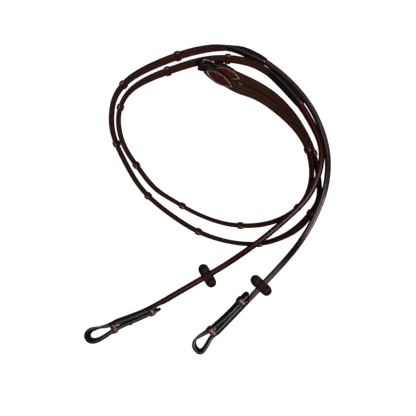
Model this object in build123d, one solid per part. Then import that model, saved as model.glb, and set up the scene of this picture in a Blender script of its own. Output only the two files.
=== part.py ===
from build123d import *
from math import cos, radians, sin, tan
import os

# A pair of riding reins coiled on a flat surface. Half a ends at the bit loop on the left, half b at the
# bit loop in front. Both halves are written from the bit end to the centre buckle, anticlockwise round the
# coil. The straps stand on edge and lean outwards: the tilt is the lean from upright, in degrees.

# ---- driving dimensions (mm) ----
web_width = 16.0
web_thick = 3.0
leather_width = 13.5
backing_thick = 2.0
front_thick = 5.0
filler_width = 7.0
filler_thick = 2.2
bit_strap_width = 14.0
bit_strap_thick = 4.0
strap_crown = 1.6
strap_round = 1.2
glue_line = 0.1
lay_gap = 0.35

hand_stop_long = 8.0
hand_stop_wall = 1.7
hand_stop_gap = 0.25
hand_stop_pitch = 90.0
hand_stop_count = 8

splice_wall = 1.2
splice_gap = 0.9
splice_seam = 1.0
splice_on_web = 12.0

keeper_wall = 1.5
keeper_long = 9.0
keeper_gap = 0.4
stud_neck_dia = 4.0
stud_head_dia = 7.0
stud_head_thick = 2.4
stud_head_round = 0.95
burr_dia = 9.0
burr_thick = 1.0

stop_lobe_dia = 16.5
stop_lobe_spacing = 19.5
stop_height = 17.0
stop_gap = 0.35
stop_band_long = 7.0
stop_band_wall = 1.5

leaf_width = 19.0
leaf_tip = {"a": 27.0, "b": 21.0}
leaf_neck = -21.0
leaf_thick = 6.2
leaf_neck_width = 14.0
leaf_border = 4.0
inlay_width = 12.5
inlay_thick = 0.8

frame_long = 16.0
frame_width = 20.0
frame_wire = 3.0
frame_corner = 2.5
bar_gap = 0.3
chape_width = 12.0
chape_thick = 1.8
chape_leg = 6.0
tongue_width = 2.4
tongue_thick = 2.0
tongue_bore_gap = 0.15
billet_width = 12.5
billet_thick = 2.4
centre_keeper_long = 7.0
centre_keeper_start = 7.0

seat = (-1.1, -3.0, 2.3)
low_height = 9.2
stop_rise = 2.2
web_height = 9.95
high_height = 29.5
leaf_b_height = 16.4
leaf_a_height = leaf_b_height + 7.2
leather_tilt = 12.0
web_tilt = 18.0
leaf_tilt = 60.0

Z_UP = Vector(0, 0, 1)

# ---- routes: x, y, height, tilt ----
leather_route_a = [
    (-142, -181.5, low_height, leather_tilt), (-115, -172, low_height, leather_tilt),
    (-92, -163.5, low_height, leather_tilt), (-69, -151.5, low_height, leather_tilt),
    (-42, -135.4, low_height + stop_rise, leather_tilt), (18, -100.9, low_height + stop_rise, leather_tilt),
    (43, -84.5, 16, leather_tilt), (64, -69.5, 27.5, leather_tilt), (86, -53, high_height, leather_tilt),
    (112, -31, high_height, leather_tilt), (141, -4, high_height, leather_tilt),
    (153, 14, high_height, leather_tilt), (161, 32, high_height, leather_tilt),
    (166, 51, high_height, leather_tilt), (167, 70, 27, leather_tilt), (163.5, 88, 22.5, leather_tilt),
    (156.5, 104, 17, leather_tilt), (148, 120, 12, leather_tilt), (137, 136.5, 9.8, leather_tilt),
    (119, 159, web_height, leather_tilt), (101, 175, web_height, leather_tilt)]
leather_route_b = [
    (8, -201, low_height, leather_tilt), (29, -179.5, low_height, leather_tilt),
    (54, -152, low_height, leather_tilt), (98, -105, low_height + 1.6 * stop_rise, leather_tilt),
    (118, -82.5, 17, leather_tilt), (134.5, -61, 27, leather_tilt), (149, -38, high_height, leather_tilt),
    (161, -13, high_height, leather_tilt), (170, 12, high_height, leather_tilt),
    (174.5, 36, 24, leather_tilt), (175.5, 60, 16, leather_tilt), (172.5, 82, 11, leather_tilt),
    (166, 104, low_height, leather_tilt), (153.5, 131.5, low_height, leather_tilt),
    (133.5, 158.5, low_height, leather_tilt), (112, 180, low_height, leather_tilt),
    (86.5, 199.5, web_height, leather_tilt), (64, 211.5, web_height, leather_tilt),
    (43, 219.5, web_height, leather_tilt)]

web_route_a = [
    (100, 175.8, web_height, leather_tilt), (79, 192, web_height, 24), (58, 201, web_height, 38),
    (30, 205.5, web_height, 38), (-8, 202.5, web_height, 38), (-59, 186, web_height, 34),
    (-89, 173.5, web_height, 28), (-109, 160.5, web_height, 20), (-121, 145, web_height, 16),
    (-127, 127, web_height, 16), (-127.5, 107, web_height, web_tilt), (-122, 84, web_height, web_tilt),
    (-112, 65, web_height, web_tilt), (-98, 46, web_height, web_tilt), (-85, 28, web_height, web_tilt),
    (-70, 12.5, web_height, web_tilt), (-46, -2, web_height, 14), (-15, -20, web_height, 14),
    (22, -34, web_height, 14), (54, -38, web_height, web_tilt), (82, -36, web_height, web_tilt),
    (106, -29, web_height, web_tilt), (127, -17, web_height, web_tilt), (143, 0, web_height, web_tilt),
    (151.5, 21, web_height, web_tilt), (153.5, 46, web_height, web_tilt), (147.5, 75, web_height, web_tilt),
    (134, 99, web_height, 24), (117, 118, 11, 32), (98.5, 134.3, 14, 42), (80.5, 147.5, 18, 52),
    (62, 155.8, 22, leaf_tilt), (43, 161, leaf_a_height, leaf_tilt),
    (17, 177.5, leaf_a_height, leaf_tilt)]
web_route_b = [
    (42, 219.7, web_height, leather_tilt), (20, 221.5, web_height, 30), (-9, 218, web_height, 38),
    (-42, 209, web_height, 38), (-82, 193, web_height, 34), (-109, 178, web_height, 28),
    (-125, 162.5, web_height, 24), (-135, 144, web_height, 20), (-138, 120, web_height, 20),
    (-136.5, 100, web_height, 20), (-129, 77, web_height, web_tilt), (-111, 42, web_height, web_tilt),
    (-97, 20, web_height, web_tilt), (-80, 1, web_height, web_tilt), (-47, -25, web_height, web_tilt),
    (-10, -48, web_height, web_tilt), (34, -62, web_height, 14), (78, -65, web_height, 16),
    (112, -54, web_height, 22), (136, -38.5, web_height, 36), (152, -19.5, web_height, 24),
    (163, -1, web_height, web_tilt), (164.5, 20, web_height, web_tilt), (161, 44, web_height, web_tilt),
    (155.5, 70, web_height, web_tilt), (143, 97, web_height, 24), (125, 124, web_height, 34),
    (102, 147, 11.5, 46), (80, 161.5, 14, 56), (58, 172.5, leaf_b_height, leaf_tilt),
    (31, 184.4, leaf_b_height, leaf_tilt)]

# Each bit strap goes from the run round the bit loop and back past the stud: x, y, tilt.
bit_route_a = [
    (-158, -185.5, 8), (-169.5, -188.8, 24), (-173.4, -197.3, 36), (-168.4, -204.6, 28),
    (-157.5, -203.8, 16), (-146, -197, leather_tilt), (-134, -188.7, leather_tilt),
    (-118, -180.3, leather_tilt), (-103, -174.5, leather_tilt), (-86, -166.8, leather_tilt),
    (-66, -157.5, leather_tilt)]
bit_route_b = [
    (-0.5, -213.8, -16), (-8.8, -221.8, -28), (-17.8, -213.5, -20), (-17.5, -203, -6), (-9.5, -196.3, 6),
    (2, -188.5, 14), (13, -178.5, 20), (27, -166, 24), (41, -152.5, 22), (60, -133, 32)]

# Along each run, from its bit end: where a piece sits, and how far out the returning strap lies there.
loop_keeper_at = {"a": (9, 9.4), "b": (7, 12.8)}
tip_keeper_at = {"a": (65, 5.8), "b": (68, 9.2)}
stud_at = {"a": (31, 6.6), "b": (44.5, 9.9)}
rein_stop_at = {"a": 161.4, "b": 106.0}
first_hand_stop = {"a": 76.0, "b": 85.0}
bit_lap = 76.0
buckle_bar = (9.5, 192.5, leaf_b_height)
buckle_turn = 168.0


# ---- routes as wires ----
def corner_radii(points):
    """The largest even radius at each corner: 0.45 of the shorter run over the tangent of half the turn."""
    found = []
    for before, corner, after in zip(points, points[1:], points[2:]):
        run_in = corner - before
        run_out = after - corner
        half_turn = radians(run_in.get_angle(run_out) / 2)
        found.append(0.45 * min(run_in.length, run_out.length) / tan(half_turn))
    return found


def run_directions(points):
    """Direction of travel at each point of a route."""
    ends = [points[0]] + points + [points[-1]]
    return [(after - before).normalized() for before, after in zip(ends, ends[2:])]


def width_direction(travel, tilt):
    """Up the width of a strap that leans to the right of its travel by the tilt."""
    outward = travel.cross(Z_UP).normalized()
    return Z_UP * cos(radians(tilt)) + outward * sin(radians(tilt))


class Route:
    """Straight runs joined by tangent arcs, and a rail beside it that sets the tilt."""

    def __init__(self, stations, name=""):
        points = [Vector(*station[:3]) for station in stations]
        rail = []
        for point, travel, station in zip(points, run_directions(points), stations):
            rail.append(point + width_direction(travel, station[3]) * web_width)
        bends = corner_radii(points)
        self.line = FilletPolyline(*points, radius=bends)
        self.rail = FilletPolyline(*rail, radius=corner_radii(rail))
        if name:
            print(name, "length", round(self.line.length, 1), "radii", [round(bend) for bend in bends])

    def plane(self, distance):
        """Plane across the strap: x out of its outward face, y across its width, z along the travel."""
        share = distance / self.line.length
        travel = self.line % share
        centre = self.line @ share
        up = (self.rail @ share) - centre
        up = (up - travel * up.dot(travel)).normalized()
        return Plane(origin=centre, x_dir=travel.cross(up), z_dir=travel)

    def sweep(self, profile):
        """A strap of one section along the whole route."""
        section = self.plane(0) * profile
        return sweep(section, path=self.line.wire(), binormal=self.rail.wire()).solid()

    def part_of(self, solid, start, end):
        """What lies between two distances, cut square to the strap."""
        kept = solid
        for distance, keep in ((start, Keep.TOP), (end, Keep.BOTTOM)):
            if 0 < distance < self.line.length:
                kept = kept.split(self.plane(distance), keep=keep)
        return kept


def block(plane, x_range, y_range, z_range):
    """A box in a plane's own directions, from its lowest to its highest x, y and z."""
    sizes = [high - low for low, high in (x_range, y_range, z_range)]
    middles = [(high + low) / 2 for low, high in (x_range, y_range, z_range)]
    return plane * Pos(*middles) * Box(*sizes)


def sided(front_side, low, high):
    """A range measured towards the front face, as a range of x."""
    ends = (front_side * low, front_side * high)
    return (min(ends), max(ends))


def save(name, shape):
    """Write one node, with the middle of the coil's outline at the origin and its lowest point at 0."""
    placed = Pos(*seat) * shape
    placed.label = name
    export_step(placed, "parts/" + name + ".step")


# ---- profiles across a strap: x out of its outward face, y across its width ----
leather_thick = backing_thick + front_thick
back_face = -leather_thick / 2
seam = back_face + backing_thick
front_face = leather_thick / 2


def front_profile(front_side):
    """The raised leather: flat at the seam with a groove for the filler, crowned in front."""
    half = leather_width / 2
    groove = filler_width / 2
    shoulder = front_side * (front_face - strap_crown)
    flat = front_side * seam
    floor = front_side * (seam + filler_thick)
    sides = Polyline((shoulder, half), (flat, half), (flat, groove), (floor, groove), (floor, -groove),
                     (flat, -groove), (flat, -half), (shoulder, -half))
    crown = ThreePointArc((shoulder, -half), (front_side * front_face, 0), (shoulder, half))
    return make_face([*sides.edges(), crown])


def flat_profile(front_side, low, high, width):
    """A flat layer between two distances from the middle of the run."""
    x_low, x_high = sided(front_side, low, high)
    return Pos((x_low + x_high) / 2, 0) * Rectangle(x_high - x_low, width)


# ---- the leather run of one half ----
def make_run(half, front_side, stations, bit_stations):
    """Backing, raised front, filler and bit strap of one leather run."""
    run = Route(stations, "leather run " + half)
    whole = run.line.length
    backing = run.sweep(flat_profile(front_side, back_face, seam - glue_line, leather_width))
    front = run.part_of(run.sweep(front_profile(front_side)), bit_lap, whole)
    filler_top = seam + filler_thick - glue_line
    filler = run.sweep(flat_profile(front_side, seam, filler_top, filler_width - 2 * glue_line))
    filler = run.part_of(filler, bit_lap, whole)

    aside = front_side * (seam + lay_gap + bit_strap_thick / 2)
    base = []
    points = [Vector(*station[:3]) for station in stations[:4]]
    for point, travel in zip(points[:3], run_directions(points)):
        place = point + travel.cross(width_direction(travel, leather_tilt)) * aside
        base.insert(0, (place.X, place.Y, place.Z, -leather_tilt))
    lap_end = run.plane(bit_lap - lay_gap).from_local_coords(Vector(aside, 0, 0))
    start = [(lap_end.X, lap_end.Y, lap_end.Z, -leather_tilt)]
    fold = [(x, y, low_height, tilt) for x, y, tilt in bit_stations]
    bit_line = Route(start + base + fold, "bit strap " + half)
    bit_strap = bit_line.sweep(RectangleRounded(bit_strap_thick, bit_strap_width, strap_round))
    return run, backing, front, filler, bit_strap


def keeper_ring(plane, front_side, lift, length):
    """A keeper sewn in between the run and the bit strap, round both legs of the bit strap."""
    inside = sided(front_side, seam + keeper_wall, lift + bit_strap_thick / 2 + keeper_gap)
    outside = sided(front_side, seam, lift + bit_strap_thick / 2 + keeper_gap + keeper_wall)
    reach = bit_strap_width / 2 + keeper_gap
    along = (-length / 2, length / 2)
    ring = block(plane, outside, (-reach - keeper_wall, reach + keeper_wall), along)
    return ring - block(plane, inside, (-reach, reach), (-length, length))


def make_stud(plane, front_side, lift):
    """Hook stud and burr: the neck goes out through both legs of the bit strap."""
    out = Plane(origin=plane.origin, x_dir=plane.z_dir, z_dir=plane.x_dir * front_side)
    root = seam + lay_gap
    head = lift + bit_strap_thick / 2 + lay_gap
    neck = out * Pos(0, 0, (root + head) / 2) * Cylinder(stud_neck_dia / 2, head - root)
    cap = out * Pos(0, 0, head + stud_head_thick / 2) * Cylinder(stud_head_dia / 2, stud_head_thick)
    cap = fillet(cap.edges().group_by(Axis(out.origin, out.z_dir))[-1], stud_head_round)
    burr = out * Pos(0, 0, root + burr_thick / 2) * Cylinder(burr_dia / 2, burr_thick)
    return neck + cap, burr - neck


# ---- the rein stop ----
def make_rein_stop(plane):
    """Band round the run, and a thick leather lobe on each side of it."""
    inner = (leather_thick / 2 + stop_gap, leather_width / 2 + stop_gap)
    outer = (inner[0] + stop_band_wall, inner[1] + stop_band_wall)
    along = (-stop_band_long / 2, stop_band_long / 2)
    full = block(plane, (-outer[0], outer[0]), (-outer[1], outer[1]), along)
    band = full - block(plane, (-inner[0], inner[0]), (-inner[1], inner[1]), (-stop_lobe_dia, stop_lobe_dia))
    room = block(plane, (-outer[0], outer[0]), (-stop_height, stop_height), (-stop_lobe_dia, stop_lobe_dia))
    upright = Plane(origin=plane.origin, x_dir=plane.x_dir, z_dir=plane.y_dir * -1)
    lobes = []
    for side in (-1, 1):
        disc = upright * Pos(side * stop_lobe_spacing / 2, 0, 0) * Cylinder(stop_lobe_dia / 2, stop_height)
        lobes.append((disc - room).solid())
    return Compound(children=lobes), band


# ---- the web grip ----
def make_hand_stop(plane):
    """A leather band wrapped round the web."""
    inner = (web_thick / 2 + hand_stop_gap, web_width / 2 + hand_stop_gap)
    outer = (inner[0] + hand_stop_wall, inner[1] + hand_stop_wall)
    along = (-hand_stop_long / 2, hand_stop_long / 2)
    full = block(plane, (-outer[0], outer[0]), (-outer[1], outer[1]), along)
    room = block(plane, (-inner[0], inner[0]), (-inner[1], inner[1]), (-hand_stop_long, hand_stop_long))
    return full - room


def make_splice(leather_stations, web_stations):
    """Leather wrapped round the end of the run and the start of the web, open along its seam."""
    shared = leather_stations[-3:] + web_stations[1:2]
    sleeve_line = Route(shared)
    room_x = leather_thick / 2 + splice_gap
    room_y = web_width / 2 + splice_gap
    wall_x = room_x + splice_wall
    wall_y = room_y + splice_wall
    slit = splice_seam / 2
    around = [(slit, wall_y), (wall_x, wall_y), (wall_x, -wall_y), (-wall_x, -wall_y), (-wall_x, wall_y),
              (-slit, wall_y), (-slit, room_y), (-room_x, room_y), (-room_x, -room_y), (room_x, -room_y),
              (room_x, room_y), (slit, room_y)]
    sleeve = sleeve_line.sweep(make_face(Polyline(*around, close=True)))
    on_web = (Vector(*web_stations[1][:3]) - Vector(*web_stations[0][:3])).length
    return sleeve_line.part_of(sleeve, 0, sleeve_line.line.length - on_web + splice_on_web)


# ---- the leaf ends ----
def leaf_plane(web_route):
    """Plane of a leaf: x away from the buckle, y up its width, z out of its upper face."""
    end = web_route.plane(web_route.line.length)
    return Plane(origin=end.origin, x_dir=end.z_dir * -1, z_dir=end.x_dir * -1)


def almond(neck, tip, half_width, neck_half):
    """Outline pointed at its tip, and square at its neck if that has a width."""
    upper = ThreePointArc((neck, neck_half), ((neck + tip) / 2, half_width), (tip, 0))
    lower = ThreePointArc((tip, 0), ((neck + tip) / 2, -half_width), (neck, -neck_half))
    edges = [upper, lower]
    if neck_half > 0:
        edges.append(Line((neck, -neck_half), (neck, neck_half)))
    return make_face(edges)


def make_leaf(plane, tip):
    """Leather leaf folded over the end of the web, and an inlay sunk in each face."""
    outline = almond(leaf_neck, tip, leaf_width / 2, leaf_neck_width / 2)
    leaf = plane * extrude(outline, leaf_thick / 2, both=True)
    room = (web_thick / 2 + glue_line, web_width / 2 + glue_line)
    leaf = leaf - block(plane, (0, 2 * tip), (-room[1], room[1]), (-room[0], room[0]))
    inlays = []
    for side in (-1, 1):
        low = leaf_thick / 2 - inlay_thick / 2
        shape = almond(leaf_neck + leaf_border, tip - leaf_border, inlay_width / 2, 0)
        inlay = plane * Pos(0, 0, side * low) * extrude(shape, inlay_thick / 2, both=True)
        leaf = leaf - inlay
        inlays.append(inlay.solid())
    return leaf, Compound(children=inlays)


# ---- the centre buckle ----
bar_radius = frame_wire / 2
eye_radius = bar_radius + bar_gap
chape_radius = eye_radius + chape_thick
billet_low = chape_radius + bar_gap + billet_thick / 2
billet_high = bar_radius + bar_gap + billet_thick / 2
fold_radius = 2.7
tongue_play = 0.5
billet_bend = 2.0
billet_drop_start = bar_radius - frame_long + 0.9
billet_drop_end = -2.4
billet_slot = (-10.5, 0.8)
billet_start = -5.0
billet_tip = 22.0
leaf_pocket = ((-20, 4), (-15, 15), (-9, 5))


def make_frame(plane):
    """Three square sides and a round heel bar."""
    half = frame_width / 2
    inside = half - frame_wire
    frame = block(plane, (-frame_long - bar_radius, 0), (-half, half), (-bar_radius, bar_radius))
    upright = frame.edges().filter_by(Axis(plane.origin, plane.z_dir))
    corners = upright.sort_by(Axis(plane.origin, plane.x_dir))[:2]
    frame = fillet(corners, frame_corner)
    room = (bar_radius - frame_long, frame_wire)
    frame = frame - block(plane, room, (-inside, inside), (-frame_wire, frame_wire))
    along_bar = Plane(origin=plane.origin, x_dir=plane.x_dir, z_dir=plane.y_dir)
    return frame + along_bar * Cylinder(bar_radius, frame_width)


def make_tongue(plane):
    """Eye round the heel bar and a flat shank that rests on the front bar."""
    along_bar = Plane(origin=plane.origin, x_dir=plane.x_dir, z_dir=plane.y_dir)
    top = -bar_radius - glue_line
    half = tongue_width / 2
    shank = block(plane, (-frame_long - bar_radius, 0), (-half, half), (top - tongue_thick, top))
    eye = along_bar * Cylinder(tongue_thick - top, tongue_width)
    return shank + eye - along_bar * Cylinder(bar_radius + tongue_bore_gap, 2 * tongue_width)


def make_chape(plane):
    """Leather folded round the heel bar, slotted for the tongue."""
    along_bar = Plane(origin=plane.origin, x_dir=plane.x_dir, z_dir=plane.y_dir)
    half = chape_width / 2
    reach = 2 * chape_radius
    chape = along_bar * Cylinder(chape_radius, chape_width)
    chape = chape + block(plane, (0, chape_leg), (-half, half), (-chape_radius, chape_radius))
    chape = chape - along_bar * Cylinder(eye_radius, 2 * chape_width)
    chape = chape - block(plane, (0, 2 * chape_leg), (-chape_width, chape_width), (-eye_radius, eye_radius))
    slot = tongue_width / 2 + tongue_play
    return chape - block(plane, (-reach, chape_radius), (-slot, slot), (-reach, reach))


def make_billet(plane):
    """Strap from the first leaf: round a fold, through the frame, over the chape and out to its tip."""
    side_view = Plane(origin=plane.origin, x_dir=plane.x_dir, z_dir=plane.y_dir * -1)
    upper = billet_high + 2 * fold_radius
    fold_x = -frame_long - bar_radius
    outer = Line((billet_start, upper), (fold_x, upper))
    turn = ThreePointArc((fold_x, upper), (fold_x - fold_radius, upper - fold_radius), (fold_x, billet_high))
    down = [(fold_x, billet_high), (billet_drop_start, billet_high)]
    down += [(billet_drop_end, -billet_low), (billet_tip, -billet_low)]
    run_in = FilletPolyline(*down, radius=billet_bend)
    ribbon = trace(Wire([outer, turn, *run_in.edges()]), line_width=billet_thick)
    billet = side_view * extrude(ribbon, billet_width / 2, both=True)
    slot = tongue_width / 2 + tongue_play
    return billet - block(plane, billet_slot, (-slot, slot), (-3 * billet_low, bar_radius))


def make_centre_keeper(plane):
    """Ring round the billet, its upper wall sewn into the leaf."""
    along = (centre_keeper_start, centre_keeper_start + centre_keeper_long)
    low = -billet_low - billet_thick / 2 - keeper_gap
    reach = billet_width / 2 + keeper_gap
    ring = block(plane, along, (-reach - keeper_wall, reach + keeper_wall), (low - keeper_wall, keeper_wall))
    return ring - block(plane, (0, 2 * along[1]), (-reach, reach), (low, 0))


# ---- build and write ----
def build():
    os.makedirs("parts", exist_ok=True)
    halves = {"a": (1, leather_route_a, web_route_a, bit_route_a)}
    halves["b"] = (-1, leather_route_b, web_route_b, bit_route_b)
    leaves = {}
    for half, (front_side, leather_stations, web_stations, bit_stations) in halves.items():
        run, backing, front, filler, bit_strap = make_run(half, front_side, leather_stations, bit_stations)
        distance, lift = stud_at[half]
        stud, burr = make_stud(run.plane(distance), front_side, lift)
        bit_strap = bit_strap - stud - burr
        for name, place in (("loop_keeper", loop_keeper_at[half]), ("tip_keeper", tip_keeper_at[half])):
            keeper = keeper_ring(run.plane(place[0]), front_side, place[1], keeper_long)
            bit_strap = bit_strap - keeper
            save(name + "_" + half, keeper)
        save("leather_backing_" + half, backing)
        save("rolled_front_" + half, front)
        save("raised_filler_" + half, filler)
        save("bit_strap_" + half, bit_strap)
        save("hook_stud_" + half, stud)
        save("stud_burr_" + half, burr)
        stop_place = run.plane(rein_stop_at[half])
        print("rein stop", half, stop_place.origin, "travel", stop_place.z_dir)
        lobes, band = make_rein_stop(stop_place)
        save("rein_stop_" + half, lobes)
        save("stop_band_" + half, band)
        save("splice_" + half, make_splice(leather_stations, web_stations))

        web_line = Route(web_stations, "web grip " + half)
        web = web_line.sweep(Rectangle(web_thick, web_width))
        expected = web_thick * web_width * web_line.line.length
        print("web grip", half, "volume", round(web.volume), "section times length", round(expected))
        save("web_grip_" + half, web)
        for number in range(hand_stop_count):
            place = web_line.plane(first_hand_stop[half] + number * hand_stop_pitch)
            print("hand stop", half, number + 1, [round(value) for value in place.origin])
            save("hand_stop_" + half + "_" + str(number + 1), make_hand_stop(place))
        leaves[half] = make_leaf(leaf_plane(web_line), leaf_tip[half])

    travel = Vector(cos(radians(buckle_turn)), sin(radians(buckle_turn)), 0)
    outward = travel.cross(width_direction(travel, leaf_tilt))
    buckle = Plane(origin=buckle_bar, x_dir=travel * -1, z_dir=outward * -1)
    chape = make_chape(buckle)
    keeper = make_centre_keeper(buckle)
    billet = make_billet(buckle)
    save("leaf_a", leaves["a"][0] - billet)
    save("inlay_a", leaves["a"][1])
    save("leaf_b", leaves["b"][0] - chape - keeper - block(buckle, *leaf_pocket))
    save("inlay_b", leaves["b"][1])
    save("buckle_frame", make_frame(buckle))
    save("buckle_tongue", make_tongue(buckle))
    save("buckle_chape", chape)
    save("centre_billet", billet)
    save("centre_keeper", keeper)
    print("buckle bar direction", buckle.y_dir, "bar", buckle.origin)


build()
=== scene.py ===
import bpy
import bmesh
import math
from bisect import bisect_right
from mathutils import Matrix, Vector


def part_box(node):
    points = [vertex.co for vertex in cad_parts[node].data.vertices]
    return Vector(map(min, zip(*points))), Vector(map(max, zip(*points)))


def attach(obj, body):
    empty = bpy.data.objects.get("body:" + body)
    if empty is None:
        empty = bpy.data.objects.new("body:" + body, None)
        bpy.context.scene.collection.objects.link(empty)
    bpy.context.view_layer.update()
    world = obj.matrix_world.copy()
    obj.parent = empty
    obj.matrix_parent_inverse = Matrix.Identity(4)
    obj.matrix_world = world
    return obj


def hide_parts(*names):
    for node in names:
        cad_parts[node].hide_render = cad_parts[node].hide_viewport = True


# Riding reins laid in one coil. Every strap is drawn along its route with its own cross-section, and
# every route runs from the bit end to the centre buckle. Lengths are in metres and leans in degrees.

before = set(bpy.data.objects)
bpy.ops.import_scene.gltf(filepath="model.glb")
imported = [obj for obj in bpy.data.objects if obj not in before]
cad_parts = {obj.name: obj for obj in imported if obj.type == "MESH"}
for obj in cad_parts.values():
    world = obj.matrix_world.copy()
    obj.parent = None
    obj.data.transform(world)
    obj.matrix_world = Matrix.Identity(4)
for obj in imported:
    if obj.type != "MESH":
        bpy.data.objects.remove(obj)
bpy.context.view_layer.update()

# ---- sizes ----
SEAT = Vector((-0.0011, -0.003, 0.0023))
LOW = 0.0092
WEB = 0.00995
HIGH = 0.0295
LEAF_B = 0.0164
LEAF_A = LEAF_B + 0.0072
WEB_WIDE = 0.016
WEB_THICK = 0.003
WEB_RIBS = 9
RIB_DEPTH = 0.00028
RUN_WIDE = 0.0135
BACK_FACE = -0.0035
SEAM = -0.0015
FRONT_FACE = 0.0035
MARGIN_THICK = 0.0021
BULGE_HALF = 0.0046
BIT_WIDE = 0.014
BIT_THICK = 0.004
LAY_GAP = 0.00035
BIT_LAP = 0.076
STRAP_STEP = 0.002
STITCH_PITCH = 0.0032

# ---- routes: x, y, height, lean ----
LEATHER_ROUTE_A = [
    (-0.142, -0.1815, LOW, 12), (-0.115, -0.172, LOW, 12), (-0.092, -0.1635, LOW, 12),
    (-0.069, -0.1515, LOW, 12), (-0.042, -0.1354, 0.0114, 12), (0.018, -0.1009, 0.0114, 12),
    (0.043, -0.0845, 0.016, 12), (0.064, -0.0695, 0.0275, 12), (0.086, -0.053, HIGH, 12),
    (0.112, -0.031, HIGH, 12), (0.141, -0.004, HIGH, 12), (0.153, 0.014, HIGH, 12),
    (0.161, 0.032, HIGH, 12), (0.166, 0.051, HIGH, 12), (0.167, 0.07, 0.027, 12),
    (0.1635, 0.088, 0.0225, 12), (0.1567, 0.1042, 0.017, 18), (0.1486, 0.1205, 0.012, 24),
    (0.138, 0.1373, 0.0098, 28), (0.1203, 0.1601, WEB, 30), (0.102, 0.1765, WEB, 30)]
LEATHER_ROUTE_B = [
    (0.007, -0.1998, LOW, 12), (0.0278, -0.1784, LOW, 12), (0.0535, -0.1517, LOW, 12),
    (0.098, -0.105, 0.01272, 12), (0.118, -0.0825, 0.017, 12), (0.1345, -0.061, 0.027, 12),
    (0.149, -0.038, HIGH, 12), (0.161, -0.013, HIGH, 12), (0.17, 0.012, HIGH, 12),
    (0.1745, 0.036, 0.024, 12), (0.1755, 0.06, 0.016, 12), (0.1725, 0.082, 0.011, 12),
    (0.166, 0.104, LOW, 12), (0.1535, 0.1315, LOW, 12), (0.1335, 0.1585, LOW, 12), (0.112, 0.18, LOW, 12),
    (0.0865, 0.1995, WEB, 12), (0.064, 0.2115, WEB, 12), (0.043, 0.2195, WEB, 12)]
WEB_ROUTE_A = [
    (0.101, 0.1773, WEB, 30), (0.0793, 0.1928, WEB, 34), (0.058, 0.201, WEB, 38), (0.03, 0.2055, WEB, 38),
    (-0.008, 0.2025, WEB, 38), (-0.059, 0.186, WEB, 34), (-0.089, 0.1735, WEB, 28),
    (-0.109, 0.1605, WEB, 20), (-0.121, 0.145, WEB, 16), (-0.127, 0.127, WEB, 16),
    (-0.1275, 0.107, WEB, 18), (-0.122, 0.084, WEB, 18), (-0.112, 0.065, WEB, 18),
    (-0.098, 0.046, WEB, 18), (-0.085, 0.028, WEB, 18), (-0.07, 0.0125, WEB, 18),
    (-0.046, -0.002, WEB, 14), (-0.015, -0.02, WEB, 14), (0.022, -0.034, WEB, 14),
    (0.054, -0.038, WEB, 18), (0.082, -0.036, WEB, 18), (0.106, -0.029, WEB, 18),
    (0.127, -0.017, WEB, 18), (0.143, 0, WEB, 18), (0.1515, 0.021, WEB, 18), (0.1535, 0.046, WEB, 18),
    (0.1475, 0.075, WEB, 18), (0.134, 0.099, WEB, 24), (0.117, 0.118, 0.011, 32),
    (0.0985, 0.1343, 0.014, 42), (0.0805, 0.1475, 0.018, 52), (0.062, 0.1558, 0.022, 60),
    (0.043, 0.161, LEAF_A, 60), (0.017, 0.1775, LEAF_A, 60)]
WEB_ROUTE_B = [
    (0.042, 0.2197, WEB, 12), (0.02, 0.2215, WEB, 30), (-0.009, 0.218, WEB, 38), (-0.042, 0.209, WEB, 38),
    (-0.082, 0.193, WEB, 34), (-0.109, 0.178, WEB, 28), (-0.125, 0.1625, WEB, 24),
    (-0.135, 0.144, WEB, 20), (-0.138, 0.12, WEB, 20), (-0.1365, 0.1, WEB, 20), (-0.129, 0.077, WEB, 18),
    (-0.111, 0.042, WEB, 18), (-0.097, 0.02, WEB, 18), (-0.08, 0.001, WEB, 18), (-0.047, -0.025, WEB, 18),
    (-0.01, -0.048, WEB, 18), (0.034, -0.062, WEB, 14), (0.078, -0.065, WEB, 16),
    (0.112, -0.054, WEB, 22), (0.136, -0.0385, WEB, 36), (0.152, -0.0195, WEB, 24),
    (0.163, -0.001, WEB, 18), (0.1645, 0.02, WEB, 18), (0.161, 0.044, WEB, 18),
    (0.1555, 0.07, WEB, 18), (0.143, 0.097, WEB, 24),
    (0.125, 0.124, WEB, 34), (0.102, 0.147, 0.0115, 46), (0.08, 0.1615, 0.014, 56),
    (0.058, 0.1725, LEAF_B, 60), (0.031, 0.1844, LEAF_B, 60)]
BIT_ROUTE_A = [
    (-0.158, -0.1855, LOW, 8), (-0.1695, -0.1888, LOW, 24), (-0.1734, -0.1973, LOW, 36),
    (-0.1684, -0.2046, LOW, 28), (-0.1575, -0.2038, LOW, 16), (-0.146, -0.197, LOW, 12),
    (-0.134, -0.1887, LOW, 12), (-0.118, -0.1803, LOW, 12), (-0.103, -0.1745, LOW, 12),
    (-0.086, -0.1668, LOW, 12), (-0.066, -0.1575, LOW, 12)]
BIT_ROUTE_B = [
    (-0.0005, -0.2133, LOW, -16), (-0.0088, -0.2218, LOW, -28), (-0.0178, -0.2135, LOW, -20),
    (-0.0175, -0.203, LOW, -6), (-0.009, -0.1968, LOW, 6), (0.0035, -0.1897, LOW, 14),
    (0.0148, -0.1803, LOW, 20), (0.0288, -0.1682, LOW, 24), (0.0426, -0.1545, LOW, 24),
    (0.0606, -0.1338, LOW, 32)]


# ---- places along a route ----
class Place:
    """A point on a strap with its travel, the way up its width and the way out of its outward face."""

    def __init__(self, origin, travel, up):
        self.origin = origin
        self.travel = travel.normalized()
        self.up = (up - self.travel * up.dot(self.travel)).normalized()
        self.out = self.travel.cross(self.up)

    def to(self, out, up, along=0.0):
        return self.origin + self.out * out + self.up * up + self.travel * along


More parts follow.
